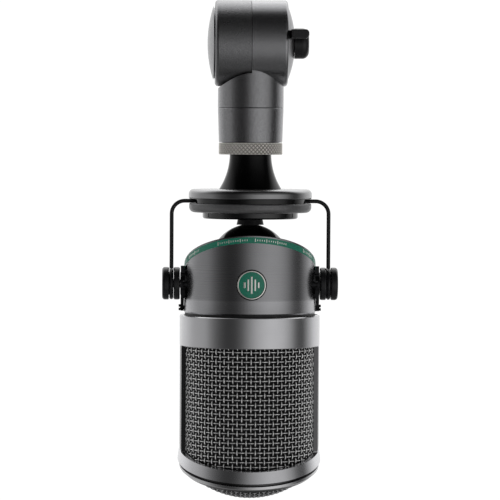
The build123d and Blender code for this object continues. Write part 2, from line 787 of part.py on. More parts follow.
def magnets():
    """Two bar magnets."""
    return both_sides(Pos(8.3, 0, RIBBON_CENTRE) * Box(5.5, 8, 43.8))


def pole_pieces():
    """Steel pole piece on each magnet, tapered towards the ribbon."""
    corners = [(5.5, -4), (5.5, 4), (2.9, 1.5), (2.9, -1.5)]
    taper = extrude(make_face(Polyline(corners, close=True)), 41.0)
    return both_sides(Pos(0, 0, RIBBON_CENTRE - 20.5) * taper)


def ribbon():
    """Aluminium ribbon, far thinner than this on the real object."""
    return Pos(0, 0, RIBBON_CENTRE) * Box(RIBBON_WIDTH, 0.1, RIBBON_LENGTH)


def clamp_heights():
    """Heights of the two ribbon clamps."""
    half = RIBBON_LENGTH / 2 - 0.9
    return (RIBBON_CENTRE - half, RIBBON_CENTRE + half)


def ribbon_clamps():
    """Front and back jaws that grip each end of the ribbon."""
    return joined([Pos(0, y, z) * Box(9, 1.8, 2.8) for y in (-0.95, 0.95) for z in clamp_heights()])


def ribbon_leads():
    """Leads from the ribbon's ends up through the base plate."""
    ends = ((-4, clamp_heights()[1]), (4, clamp_heights()[0]))
    return joined([Pos(x, 7.0, 0) * disc(0.5, low, -112.0) for x, low in ends])


# Head grille


def slanted_ring(top, top_radius, bottom, bottom_radius):
    """A solid between two slanted sections of upright cylinders."""
    sections = []
    for height, radius in ((top, top_radius), (bottom, bottom_radius)):
        normal = (0, -sin(radians(END_SLOPE)), cos(radians(END_SLOPE)))
        plane = Plane(origin=(0, 0, height), x_dir=(1, 0, 0), z_dir=normal)
        sections.append(plane * Ellipse(radius, radius / cos(radians(END_SLOPE))))
    return loft(sections)


def grille_frame():
    """Frame of the head grille: upper band, two side struts and slanted lower ring."""
    band = turned(
        [
            (GRILLE_BORE, GRILLE_TOP),
            (GRILLE_RADIUS - 0.3, GRILLE_TOP),
            (GRILLE_RADIUS, GRILLE_TOP - 0.3),
            (GRILLE_RADIUS, GRILLE_BAND_BOTTOM + 0.2),
            (GRILLE_RADIUS - 0.2, GRILLE_BAND_BOTTOM),
            (GRILLE_BORE, GRILLE_BAND_BOTTOM),
        ]
    )
    struts = tube(GRILLE_RADIUS - 0.15, GRILLE_BORE, -195, GRILLE_BAND_BOTTOM)
    struts = struts & strut_wedge()
    struts = struts & half_space(RING_TOP - 0.5, END_SLOPE, True)
    ring = slanted_ring(RING_TOP, GRILLE_RADIUS, RING_BOTTOM, RING_BOTTOM_RADIUS)
    ring -= disc(GRILLE_BORE, -200, -160)
    frame = band + struts + ring
    for angle in LUG_ANGLES:
        start = angle - TWIST - LUG_HALF_ANGLE - 0.8
        frame -= sector(30.5, 29.0, start, angle + LUG_HALF_ANGLE + 0.8, -126.3, -123.7)
        frame -= sector(30.5, 29.0, start, start + 2 * LUG_HALF_ANGLE + 1.6, -124.0, GRILLE_TOP)
    return frame


def strut_wedge():
    """Block that bounds both struts, narrower towards the outside."""
    reach = 40
    middle = STRUT_HALF_WIDTH + GRILLE_RADIUS * sin(radians(STRUT_DRAFT))
    outside = STRUT_HALF_WIDTH - (reach - GRILLE_RADIUS) * sin(radians(STRUT_DRAFT))
    right = [(0, middle), (reach, outside), (reach, -outside), (0, -middle)]
    left = [(-reach, -outside), (-reach, outside)]
    return Pos(0, 0, -200) * extrude(make_face(Polyline(right + left, close=True)), 80)


def mesh_sleeve(outer, inner):
    """A tube of mesh with its slanted lower end."""
    return tube(outer, inner, -200, MESH_TOP) & half_space(MESH_BOTTOM, END_SLOPE, True)


def side_mesh():
    """Woven wire side of the grille, drawn as a plain wall."""
    return mesh_sleeve(MESH_OUTER, MESH_INNER)


def inner_gauze():
    """Fine gauze just inside the woven wire."""
    return mesh_sleeve(GAUZE_OUTER, GAUZE_INNER)


def end_ring():
    """Ring that holds the domed end mesh, below a dark groove."""
    flange = slanted_ring(END_RING_TOP, GRILLE_RADIUS, END_RING_EDGE, GRILLE_RADIUS)
    taper = slanted_ring(END_RING_EDGE, GRILLE_RADIUS, END_RING_BOTTOM, MESH_OUTER)
    groove = slab(disc(END_GROOVE_RADIUS, -230, -150), END_RING_TOP, RING_BOTTOM, END_SLOPE)
    neck = slab(disc(GRILLE_BORE - 0.05, -230, -150), RING_BOTTOM, MESH_BOTTOM, END_SLOPE)
    return flange + taper + groove + neck - disc(END_BORE, -230, -150)


def end_mesh():
    """Domed woven mesh that closes the lower end, drawn as a plain wall."""
    centre = Pos(*CROWN_CENTRE)
    wall = centre * Sphere(CROWN_RADIUS) - centre * Sphere(CROWN_RADIUS - CROWN_WALL)
    return wall & disc(END_BORE - 0.02, -230, -150) & half_space(CROWN_TOP, END_SLOPE, False)


PIECES = [
    swivel_mount_half,
    thread_adapter,
    mount_cap,
    pivot_bolt,
    friction_ring,
    swivel_arm_half,
    arm_cap,
    pivot_bush,
    cable_grommet,
    connector_sleeve,
    sleeve_screws,
    socket_insert,
    socket_contacts,
    spigot_cone,
    plug_insert,
    plug_pins,
    neck_tube,
    signal_cable,
    upper_isolator,
    lower_isolator,
    spacer_ring,
    retaining_disc,
    disc_screws,
    cable_boot,
    yoke_wire,
    pivot_bushes,
    union_nut,
    clamp_lever,
    right_knob,
    right_knob_stud,
    left_knob,
    left_knob_stud,
    rear_housing,
    top_lid,
    lid_screws,
    dome_cover,
    trim_band,
    pivot_plates,
    plate_screws,
    lip_screws,
    badge,
    base_plate,
    base_screws,
    bayonet_ring,
    seal_ring,
    transformer_can,
    terminal_board,
    body_lead,
    motor_mounts,
    motor_frame,
    magnets,
    pole_pieces,
    ribbon,
    ribbon_clamps,
    ribbon_leads,
    grille_frame,
    side_mesh,
    inner_gauze,
    end_ring,
    end_mesh,
]


def write_parts():
    """Writes every piece in the frame whose origin is the mouth of the stand thread."""
    os.makedirs("parts", exist_ok=True)
    to_frame = Pos(0, -STAND_STEM_REACH, 0)
    for piece in PIECES:
        export_step(to_frame * piece(), f"parts/{piece.__name__}.step")


write_parts()
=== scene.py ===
import math

import bpy
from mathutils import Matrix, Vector


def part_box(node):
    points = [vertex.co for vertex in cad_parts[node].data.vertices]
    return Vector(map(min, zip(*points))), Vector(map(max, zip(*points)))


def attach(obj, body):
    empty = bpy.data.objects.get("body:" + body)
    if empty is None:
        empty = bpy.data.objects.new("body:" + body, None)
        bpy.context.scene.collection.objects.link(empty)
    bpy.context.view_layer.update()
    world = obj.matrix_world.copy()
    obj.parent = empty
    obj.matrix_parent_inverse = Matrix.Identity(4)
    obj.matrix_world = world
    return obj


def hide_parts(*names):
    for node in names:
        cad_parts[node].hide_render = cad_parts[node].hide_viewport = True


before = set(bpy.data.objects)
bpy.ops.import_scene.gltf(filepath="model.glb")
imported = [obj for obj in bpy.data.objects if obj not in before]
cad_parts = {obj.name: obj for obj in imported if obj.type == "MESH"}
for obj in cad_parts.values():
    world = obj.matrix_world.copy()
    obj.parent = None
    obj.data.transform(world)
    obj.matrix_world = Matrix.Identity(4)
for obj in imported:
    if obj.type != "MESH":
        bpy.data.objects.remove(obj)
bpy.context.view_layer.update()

# Lengths are in millimetres and are turned into metres by MM where a mesh, material or camera is made.
MM = 0.001

# The microphone hangs from its swivel along a vertical axis, and its parts turn round that axis.
SLEEVE_LOW, SLEEVE_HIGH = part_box("connector_sleeve")
AXIS_Y = (SLEEVE_LOW.y + SLEEVE_HIGH.y) / 2 / MM

# Woven grille
WIRE_RADIUS = 0.25
WIRE_SIDES = 6
STEPS_PER_CROSSING = 4
END_SLOPE = math.radians(15)

# Its side mesh, woven on a cylinder
UPRIGHT_CRIMP = 0.34
RING_CRIMP = 0.24
CRIMP_FLATNESS = 1.6
COLUMNS = 90
ROW_PITCH = 2.1
MESH_GAP = 1.5
MESH_TOP_GAP = 0.1
SIDE_LOW, SIDE_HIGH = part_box("side_mesh")
MESH_OUTER = SIDE_HIGH.x / MM
MESH_MIDDLE = MESH_OUTER - WIRE_RADIUS - UPRIGHT_CRIMP
MESH_TOP = SIDE_HIGH.z / MM - MESH_TOP_GAP
MESH_FRONT_BOTTOM = SIDE_LOW.z / MM

# Its end mesh, woven on a dome whose centre lies at CROWN_Y from the axis, with a fine gauze inside
END_PITCH = 2.05
CROWN_RADIUS = 38.6
CROWN_Y = -6.7
CROWN_Z = -163.9
CROWN_TRIM = 27.6
CROWN_WIDE_CRIMP = 0.30
CROWN_LONG_CRIMP = 0.25
CROWN_MIDDLE = CROWN_RADIUS - WIRE_RADIUS - CROWN_WIDE_CRIMP
GAUZE_RADIUS = 37.3
GAUZE_REACH = 27.4
GAUZE_RINGS = 16
GAUZE_SIDES = 72

# Struts and rings of the grille
STRUT_TOP = -134.8
STRUT_BOTTOM = -180.2
STRUT_TOP_BLEND = 0.2
STRUT_BOTTOM_BLEND = 0.3
RING_GAIN = 1.25
END_RING_RADIUS = 31.3

# Union nut
KNURL_PITCH = 1.8
KNURL_DEPTH = 0.36
KNURL_GROOVE = 0.6
KNURL_STEPS = 8
NUT_BORE = 9.8
NUT_EDGE = 0.35
NUT_SHOULDER = 0.22
NUT_ROUND = 0.06

# Trim band, with the groups of its marks in degrees round the front
TOP_SLOPE = math.radians(-24)
BAND_MIDDLE = -100.0
MARK_GROUPS = ((-68, -50), (-30, -3), (3, 32), (52, 68))
MARK_SPACING = 2
MARK_WIDTH = 0.34
LONG_MARK = 1.5
SHORT_MARK = 0.8
MARKS_PER_LONG = 5
MARK_FOOT = 0.05
MARK_RISE = 0.03

# Badge
BADGE_LOW, BADGE_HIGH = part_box("badge")
BADGE_HEIGHT = (BADGE_LOW.z + BADGE_HIGH.z) / 2 / MM
BADGE_FACE = AXIS_Y - BADGE_LOW.y / MM
BADGE_FOOT = BADGE_FACE - 0.5
BADGE_RADIUS = 6.8
BADGE_EDGE = 0.45
BADGE_BORDER = 1.1
BADGE_SIDES = 96
FIELD_RINGS = 8
FIELD_DEPTH = 0.16
FIELD_DISH = 0.05
BADGE_BARS = (2.6, 5.2, 7.6, 5.2, 2.6)
BAR_SPACING = 1.55
BAR_WIDTH = 0.75
BEVEL_SHARE = 0.2

# Ribbon
RIBBON_PITCH = 1.15
RIBBON_WAVE = 0.28
RIBBON_STEPS = 8
RIBBON_SKIN = 0.01

# Lip round the foot of the housing, brightened below its top as a painted highlight
LIP_TOP = -113.3
LIP_BLEND = 1.0

# Floor
FLOOR_RADIUS = 9000
FLOOR_HEIGHT = -1600
FLOOR_SIDES = 96
FLOOR_GLOW = 0.42

# White tent that lights the microphone, as stops of (degrees, light): round it, from the front at 0 and
# positive to the right, then from straight below to straight above, in front of it and behind it
TENT_AROUND = (
    (-180, 1.1), (-160, 1.05), (-127, 0.85), (-108, 0.58), (-92, 0.54), (-79, 0.5), (-67, 0.26),
    (-55, 0.12), (-40, 0.05), (-24, 0.06), (-12, 0.16), (0, 0.42), (15, 0.68), (34, 0.86),
    (54, 0.76), (68, 0.5), (81, 0.14), (96, 0.06), (110, 0.45), (130, 1.0), (180, 1.1),
)
TENT_FRONT = (
    (-90, 0.3), (-68, 0.35), (-44, 0.6), (-22, 1.05), (-10, 1.1), (0, 0.95), (11, 0.6),
    (32, 0.2), (56, 0.05), (70, 0.04), (90, 0.1),
)
TENT_BACK = ((-90, 0.15), (-45, 0.25), (-20, 0.7), (0, 1.0), (15, 1.0), (40, 2.0), (90, 0.9))
TENT_FLOOR = 0.16
BACKGROUND = 1.05

# Where the tent's front turns into its back, in a direction's Y, and its walls into its floor, in Z
FRONT_TO_BACK = (-0.15, 0.35)
WALL_TO_FLOOR = (-0.6, -0.9)

# Camera, looking at the front of the microphone from a little above its middle
CAMERA_DISTANCE = 1340
CAMERA_TURN = math.radians(-1.5)
CAMERA_HEIGHT = -47.0
AIM_HEIGHT = -92.2
CAMERA_LENS = 216
CAMERA_ROLL = math.radians(0.3)
SENSOR_WIDTH = 36
CLIP_START, CLIP_END = 50, 60000


# ---------------------------------------------------------------- materials

class Finish:
    """A Principled material with helpers for the few node chains that the finishes share."""

    def __init__(self, name, colour, metallic=0.0, roughness=0.5, **inputs):
        self.material = bpy.data.materials.new(name)
        self.material.use_nodes = True
        self.tree = self.material.node_tree
        self.shader = next(n for n in self.tree.nodes if n.type == "BSDF_PRINCIPLED")
        self.shader.inputs["Base Color"].default_value = (*colour, 1)
        self.shader.inputs["Metallic"].default_value = metallic
        self.shader.inputs["Roughness"].default_value = roughness
        for label, value in inputs.items():
            self.shader.inputs[label.replace("_", " ")].default_value = value
        self.colour = colour
        self.roughness = roughness
        coordinates = self.tree.nodes.new("ShaderNodeTexCoord")
        self.place = coordinates.outputs["Object"]

    def node(self, kind, **settings):
        """A new shader node."""
        made = self.tree.nodes.new("ShaderNode" + kind)
        for label, value in settings.items():
            setattr(made, label, value)
        return made

    def link(self, source, target):
        self.tree.links.new(source, target)

    def height(self):
        """Height in metres."""
        split = self.node("SeparateXYZ")
        self.link(self.place, split.inputs["Vector"])
        return split.outputs["Z"]

    def noise(self, size, stretch=(1, 1, 1), detail=3.0, place=None):
        """Noise with cells about size millimetres across, longer along an axis with a small stretch."""
        mapping = self.node("Mapping")
        mapping.inputs["Scale"].default_value = [s / (size * MM) for s in stretch]
        texture = self.node("TexNoise")
        texture.inputs["Scale"].default_value = 1.0
        texture.inputs["Detail"].default_value = detail
        self.link(place or self.place, mapping.inputs["Vector"])
        self.link(mapping.outputs["Vector"], texture.inputs["Vector"])
        return texture.outputs["Fac"]

    def distance(self, centre=None):
        """Distance in metres from the microphone's axis, or from a centre at a depth and height."""
        y, z = centre or (AXIS_Y, 0)
        offset = self.node("VectorMath", operation="SUBTRACT")
        offset.inputs[1].default_value = (0, y * MM, z * MM)
        flat = self.node("VectorMath", operation="MULTIPLY")
        flat.inputs[1].default_value = (1, 1, 1 if centre else 0)
        radius = self.node("VectorMath", operation="LENGTH")
        self.link(self.place, offset.inputs[0])
        self.link(offset.outputs["Vector"], flat.inputs[0])
        self.link(flat.outputs["Vector"], radius.inputs[0])
        return radius.outputs["Value"]

    def turned_noise(self, size):
        """Noise that runs in rings round the microphone's axis, as lathe marks do."""
        ring = self.node("CombineXYZ")
        self.link(self.distance(), ring.inputs["X"])
        self.link(self.height(), ring.inputs["Z"])
        return self.noise(size, detail=2.0, place=ring.outputs["Vector"])

    def ramp(self, source, low, high):
        """Source from 0 to 1 turned into low to high."""
        scaled = self.node("MapRange")
        scaled.inputs["To Min"].default_value = low
        scaled.inputs["To Max"].default_value = high
        self.link(source, scaled.inputs["Value"])
        return scaled.outputs["Result"]

    def vary_roughness(self, source, spread):
        """Roughness that goes from the finish's own less the spread to its own plus the spread."""
        low = max(0.02, self.roughness - spread)
        self.link(self.ramp(source, low, self.roughness + spread), self.shader.inputs["Roughness"])

    def vary_colour(self, source, darker, lighter):
        """Colour that goes from darker to lighter times the base colour."""
        mix = self.node("Mix", data_type="RGBA")
        mix.inputs["A"].default_value = (*[c * darker for c in self.colour], 1)
        mix.inputs["B"].default_value = (*[min(1, c * lighter) for c in self.colour], 1)
        self.link(source, mix.inputs["Factor"])
        self.link(mix.outputs["Result"], self.shader.inputs["Base Color"])

    def scale_colour(self, share):
        """Colour multiplied by a share."""
        scaled = self.node("VectorMath", operation="SCALE")
        self.link(self.shader.inputs["Base Color"].links[0].from_socket, scaled.inputs[0])
        self.link(share, scaled.inputs["Scale"])
        self.link(scaled.outputs["Vector"], self.shader.inputs["Base Color"])

    def step(self, source, start, end, before, after):
        """From before to after as a length goes from start to end millimetres."""
        share = self.node("MapRange")
        share.inputs["From Min"].default_value = start * MM
        share.inputs["From Max"].default_value = end * MM
        share.inputs["To Min"].default_value = before
        share.inputs["To Max"].default_value = after
        self.link(source, share.inputs["Value"])
        return share.outputs["Result"]

    def darken_struts(self, gain):
        """Colour multiplied by gain between the grille's band and slanted ring, and by RING_GAIN below."""
        along = self.node("VectorMath", operation="DOT_PRODUCT")
        along.inputs[1].default_value = (0, -math.tan(END_SLOPE), 1)
        offset = self.node("VectorMath", operation="SUBTRACT")
        offset.inputs[1].default_value = (0, AXIS_Y * MM, 0)
        darkest = self.node("Math", operation="MAXIMUM")
        self.link(self.place, offset.inputs[0])
        self.link(offset.outputs["Vector"], along.inputs[0])
        ring_top = STRUT_BOTTOM + STRUT_BOTTOM_BLEND
        above_ring = self.step(along.outputs["Value"], STRUT_BOTTOM, ring_top, RING_GAIN, gain)
        below_band = self.step(self.height(), STRUT_TOP - STRUT_TOP_BLEND, STRUT_TOP, gain, 1.0)
        self.link(above_ring, darkest.inputs[0])
        self.link(below_band, darkest.inputs[1])
        self.scale_colour(darkest.outputs["Value"])

    def paint_highlight_below(self, height, gain):
        """Painted highlight: colour multiplied by gain below a height in millimetres."""
        self.scale_colour(self.step(self.height(), height - LIP_BLEND, height, gain, 1.0))

    def bump(self, source, height):
        """Relief of height millimetres."""
        relief = self.node("Bump")
        relief.inputs["Strength"].default_value = 1.0
        relief.inputs["Distance"].default_value = height * MM
        self.link(source, relief.inputs["Height"])
        self.link(relief.outputs["Normal"], self.shader.inputs["Normal"])


def spark_finish(name, colour, roughness, grain, metallic=0.93):
    """Moulded and painted housing with the grain of a spark-eroded mould."""
    finish = Finish(name, colour, metallic=metallic, roughness=roughness)
    finish.vary_roughness(finish.noise(2.5), 0.05)
    finish.vary_colour(finish.noise(0.6), 0.65, 1.35)
    finish.bump(finish.noise(0.6, detail=4.0), grain)
    return finish.material


def satin_metal(name, colour, roughness, streak=0.02, lip_highlight=1.0, struts=1.0):
    """Turned and satin plated metal, with factors for a painted highlight on the housing's lip and for the
    grille's struts.
    """
    finish = Finish(name, colour, metallic=1.0, roughness=roughness)
    finish.vary_roughness(finish.turned_noise(0.7), streak)
    finish.vary_colour(finish.noise(9), 0.93, 1.06)
    finish.bump(finish.turned_noise(0.25), 0.001)
    # Painted highlight below the top of the housing's lip
    if lip_highlight > 1:
        finish.paint_highlight_below(LIP_TOP, lip_highlight)
    if struts < 1:
        finish.darken_struts(struts)
    return finish.material


def gloss_black(name, colour, roughness, grain=0.0, shine=0.3):
    """Polished black moulding or lacquer with faint handling marks."""
    finish = Finish(name, colour, roughness=roughness, Specular_IOR_Level=shine)
    finish.vary_roughness(finish.noise(6), 0.04)
    finish.vary_colour(finish.noise(3), 0.8, 1.3)
    if grain:
        finish.bump(finish.noise(0.35), grain)
    return finish.material


def soft_rubber(name, colour):
    """Matt black rubber with a faint bloom."""
    finish = Finish(name, colour, roughness=0.55, Sheen_Weight=0.2)
    finish.vary_roughness(finish.noise(3), 0.08)
    finish.vary_colour(finish.noise(1.2), 0.7, 1.3)
    finish.bump(finish.noise(0.25), 0.02)
    return finish.material


def cut_metal(name, colour, roughness):
    """Machined inner metal with short tool marks."""
    finish = Finish(name, colour, metallic=1.0, roughness=roughness)
    finish.vary_roughness(finish.noise(0.6, (1, 1, 0.15)), 0.07)
    finish.vary_colour(finish.noise(4), 0.85, 1.1)
    finish.bump(finish.noise(0.3, (1, 1, 0.1)), 0.006)
    return finish.material


def metal_with_painted_shade(name, colour, roughness, metallic, low, high, recess_shade, centre=None):
    """Metal with painted shade: full colour on its crests and darkened in its recesses, where shade falls.
    It is darkest, by the given shade factor, at the distance low from the axis and full at high.
    For a dome the distances are from its centre, given by its depth and height."""
    finish = Finish(name, colour, metallic=metallic, roughness=roughness)
    finish.vary_colour(finish.step(finish.distance(centre), low, high, 0.0, 1.0), recess_shade, 1.0)
    finish.vary_roughness(finish.noise(0.6), 0.06)
    finish.bump(finish.noise(0.3), 0.006)
    return finish.material


def enamel(name, colour):
    """Fired enamel, slightly uneven under a clear gloss."""
    finish = Finish(name, colour, roughness=0.45, Coat_Weight=0.2, Coat_Roughness=0.1)
    finish.vary_colour(finish.noise(1.5), 0.85, 1.15)
    finish.vary_roughness(finish.noise(2), 0.05)
    finish.bump(finish.noise(0.8), 0.008)
    return finish.material


def black_cloth(name, colour):
    """Fine black gauze, uneven in shade and relief."""
    finish = Finish(name, colour, roughness=0.85)
    finish.vary_colour(finish.noise(0.3), 0.5, 1.6)
    finish.bump(finish.noise(0.2), 0.05)
    return finish.material


def phenolic(name, colour):
    """Laminated insulating board with a faint fibre."""
    finish = Finish(name, colour, roughness=0.5)
    finish.vary_colour(finish.noise(0.8, (0.2, 1, 1)), 0.7, 1.3)
    finish.vary_roughness(finish.noise(2), 0.08)
    finish.bump(finish.noise(0.4, (0.2, 1, 1)), 0.01)
    return finish.material


FINISHES = {
    "swivel_paint": spark_finish("swivel_paint_grained", (0.235, 0.235, 0.242), 0.29, 0.08),
    "black_gloss": gloss_black("black_gloss_lacquer", (0.003, 0.003, 0.0032), 0.10, shine=0.18),
    "isolator": satin_metal("isolator_satin", (0.30, 0.30, 0.305), 0.24, 0.05),
    "black_rubber": soft_rubber("black_rubber_soft", (0.012, 0.012, 0.013)),
    "black_wire": gloss_black("black_wire_lacquer", (0.01, 0.01, 0.011), 0.22),
    "knob_plastic": gloss_black("knob_plastic_satin", (0.012, 0.012, 0.013), 0.25, 0.006),
    "nickel": satin_metal("nickel_bright", (0.98, 0.95, 0.90), 0.22),
    # The housing's lip is brightened as a painted highlight.
    "body_metal": satin_metal("body_metal_satin", (0.31, 0.31, 0.32), 0.27, lip_highlight=1.35),
    "grille_metal": satin_metal("grille_metal_satin", (0.56, 0.56, 0.575), 0.24, struts=0.2),
    "green_enamel": enamel("green_enamel_fired", (0.0, 0.19, 0.115)),
    "wire_mesh": cut_metal("wire_mesh_tinned", (0.98, 0.98, 1.0), 0.30),
    "black_gauze": black_cloth("black_gauze_woven", (0.004, 0.004, 0.0045)),
    "black_metal": cut_metal("black_metal_oxide", (0.03, 0.03, 0.032), 0.35),
    "steel": cut_metal("steel_cut", (0.5, 0.5, 0.5), 0.3),
    "brass": cut_metal("brass_cut", (0.72, 0.5, 0.2), 0.3),
    "insulator": phenolic("insulator_board", (0.30, 0.12, 0.045)),
    "magnet": cut_metal("magnet_cast", (0.12, 0.12, 0.125), 0.5),
    "ribbon_foil": cut_metal("ribbon_foil_bright", (0.85, 0.85, 0.86), 0.2),
    "circuit_board": phenolic("circuit_board_green", (0.02, 0.11, 0.05)),
    "bronze": cut_metal("bronze_sintered", (0.42, 0.24, 0.11), 0.45),
    "cable_jacket": soft_rubber("cable_jacket_soft", (0.02, 0.02, 0.021)),
}

# Paint of the swivel arm's drum and sleeve, less grained than the rest of the swivel's
SMOOTH_PAINT = spark_finish("swivel_paint_smooth", (0.27, 0.27, 0.278), 0.22, 0.008)

# Pieces whose finish differs from the rest of their slot
NODE_FINISHES = {
    "swivel_arm_half": SMOOTH_PAINT,
    "connector_sleeve": SMOOTH_PAINT,
    # The lower isolator disc is matt, and its colour is darker than the upper disc's as painted shade on
    # its downward face.
    "lower_isolator": spark_finish("isolator_matt_painted_shade", (0.13, 0.13, 0.132), 0.35, 0.01, metallic=0.5),
    "spacer_ring": gloss_black("spacer_ring_polished", (0.003, 0.003, 0.0032), 0.05, shine=0.5),
    "retaining_disc": gloss_black("retainer_lacquer", (0.004, 0.004, 0.0045), 0.09, shine=0.7),
    # The end ring is darkened towards its inner edge as painted shade in its recess.
    "end_ring": metal_with_painted_shade(
        "end_ring_satin", (0.6, 0.6, 0.61), 0.24, 1.0,
        low=END_RING_RADIUS - 1.0, high=END_RING_RADIUS - 0.2, recess_shade=0.12,
    ),
}


def finish_cad_nodes():
    """Gives each CAD node its own finish, or the finishes of its slots."""
    for name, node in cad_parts.items():
        for place in node.material_slots:
            slot = place.material.name.split(".")[0]
            place.material = NODE_FINISHES.get(name) or FINISHES[slot]


# ---------------------------------------------------------------- mesh helpers

def piece(name, corners, faces, body, slot, smooth=True, replaces=(), finish=None):
    """A new mesh, with corners in millimetres, that rides on a body in its slot's finish or its own."""
    mesh = bpy.data.meshes.new(name)
    mesh.from_pydata([[c * MM for c in corner] for corner in corners], [], faces)
    mesh.polygons.foreach_set("use_smooth", [smooth] * len(mesh.polygons))
    mesh.update()
    made = bpy.data.objects.new(name, mesh)
    bpy.context.scene.collection.objects.link(made)
    mesh.materials.append(finish or FINISHES[slot])
    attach(made, body)
    if replaces:
        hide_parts(*replaces)


def join_rings(faces, first, rings, sides, closed=False, flip=False):
    """Adds the faces between rings of corners that follow one another in a mesh from first on."""
    for ring in range(rings if closed else rings - 1):
        here = first + ring * sides
        there = first + (ring + 1) % rings * sides
        for k in range(sides):
            a, b, c, d = here + k, here + (k + 1) % sides, there + (k + 1) % sides, there + k
            faces.append((a, d, c, b) if flip else (a, b, c, d))


def add_tube(corners, faces, path, closed=False, domed=False):
    """Adds a round wire along a path of points to the lists of a mesh.
    Its section is laid out from the microphone's axis, or from above for a wire of the domed end mesh,
    whose open ends are behind the end ring."""
    first = len(corners)
    count = len(path)
    for i, point in enumerate(path):
        before = path[i - 1] if closed or i else point
        after = path[(i + 1) % count] if closed or i < count - 1 else point
        along = (after - before).normalized()
        out = Vector((0, 0, 1)) if domed else Vector((point.x, point.y - AXIS_Y, 0))
        side = along.cross(out).normalized()
        up = side.cross(along)
        for k in range(WIRE_SIDES):
            turn = 2 * math.pi * k / WIRE_SIDES
            corners.append(point + WIRE_RADIUS * (math.cos(turn) * side + math.sin(turn) * up))
    join_rings(faces, first, count, WIRE_SIDES, closed=closed)
    if not closed and not domed:
        last = first + (count - 1) * WIRE_SIDES
        faces.append(tuple(first + k for k in reversed(range(WIRE_SIDES))))
        faces.append(tuple(last + k for k in range(WIRE_SIDES)))


def on_axis(radius, angle, z):
    """A point at a radius and angle round the microphone's axis, angle 0 at the front."""
    return Vector((radius * math.sin(angle), AXIS_Y - radius * math.cos(angle), z))


# ---------------------------------------------------------------- woven grille

def side_mesh_end(y):
    """Height at which the side mesh is cut, on a plane lower at the front."""
    return MESH_FRONT_BOTTOM + MESH_GAP + (y - AXIS_Y + MESH_OUTER) * math.tan(END_SLOPE)


def crimp(phase):
    """Sideways shape of a woven wire: 1 over, -1 under, with rounded flats."""
    return math.tanh(CRIMP_FLATNESS * math.sin(phase)) / math.tanh(CRIMP_FLATNESS)


def upright_wires():
    """Wires of the side mesh that run along the axis, cut at the slanted end."""
    corners, faces = [], []
    step = ROW_PITCH / STEPS_PER_CROSSING
    for column in range(COLUMNS):
        angle = 2 * math.pi * column / COLUMNS
        bottom = side_mesh_end(on_axis(MESH_MIDDLE, angle, 0).y)
        path = []
        count = int((MESH_TOP - bottom) / step)
        for i in range(count + 1):
            z = MESH_TOP - i * step
            phase = math.pi * (i / STEPS_PER_CROSSING + column)
            path.append(on_axis(MESH_MIDDLE + UPRIGHT_CRIMP * crimp(phase), angle, z))
        add_tube(corners, faces, path)
    return corners, faces


def ring_wires():
    """Wires of the side mesh that run round the axis.
    One that the slanted end cuts is started at the back, so that it stays one run round the front."""
    corners, faces = [], []
    steps = COLUMNS * STEPS_PER_CROSSING
    rows = int((MESH_TOP - MESH_FRONT_BOTTOM) / ROW_PITCH)
    for row in range(rows):
        z = MESH_TOP - (row + 0.5) * ROW_PITCH
        path = []
        for i in range(steps):
            angle = 2 * math.pi * i / steps
            phase = math.pi * (i / STEPS_PER_CROSSING + row + 1) + math.pi / 2
            path.append(on_axis(MESH_MIDDLE + RING_CRIMP * math.sin(phase), angle, z))
        kept = [p for p in path if p.z > side_mesh_end(p.y)]
        if len(kept) == len(path):
            add_tube(corners, faces, path, closed=True)
        elif len(kept) > STEPS_PER_CROSSING:
            half = steps // 2
            kept = [p for p in path[half:] + path[:half] if p.z > side_mesh_end(p.y)]
            add_tube(corners, faces, kept)
    return corners, faces


def end_wires(across):
    """Wires of the domed end mesh, running from side to side when across, or else from front to back."""
    corners, faces = [], []
    height = CROWN_WIDE_CRIMP if across else -CROWN_LONG_CRIMP
    half = int(CROWN_TRIM / END_PITCH)
    step = END_PITCH / STEPS_PER_CROSSING
    for line in range(-half, half + 1):
        fixed = line * END_PITCH
        reach = math.sqrt(CROWN_TRIM ** 2 - fixed ** 2)
        count = int(reach / step)
        path = []
        for i in range(-count, count + 1):
            along = i * step
            x, y = (along, fixed) if across else (fixed, along)
            phase = math.pi * (i / STEPS_PER_CROSSING + line + 0.5)
            crimped = CROWN_MIDDLE + height * math.sin(phase)
            drop = math.sqrt(crimped ** 2 - x ** 2 - (y - CROWN_Y) ** 2)
            path.append(Vector((x, AXIS_Y + y, CROWN_Z - drop)))
        if len(path) > 2:
            add_tube(corners, faces, path, domed=True)
    return corners, faces


def gauze_dome():
    """Fine gauze that lines the end mesh."""
    corners = [Vector((0, AXIS_Y, CROWN_Z - math.sqrt(GAUZE_RADIUS ** 2 - CROWN_Y ** 2)))]
    for ring in range(1, GAUZE_RINGS + 1):
        for k in range(GAUZE_SIDES):
            point = on_axis(GAUZE_REACH * ring / GAUZE_RINGS, 2 * math.pi * k / GAUZE_SIDES, 0)
            rest = GAUZE_RADIUS ** 2 - point.x ** 2 - (point.y - AXIS_Y - CROWN_Y) ** 2
            corners.append(Vector((point.x, point.y, CROWN_Z - math.sqrt(rest))))
    faces = [(0, 1 + k, 1 + (k + 1) % GAUZE_SIDES) for k in range(GAUZE_SIDES)]
    join_rings(faces, 1, GAUZE_RINGS, GAUZE_SIDES, flip=True)
    return corners, faces


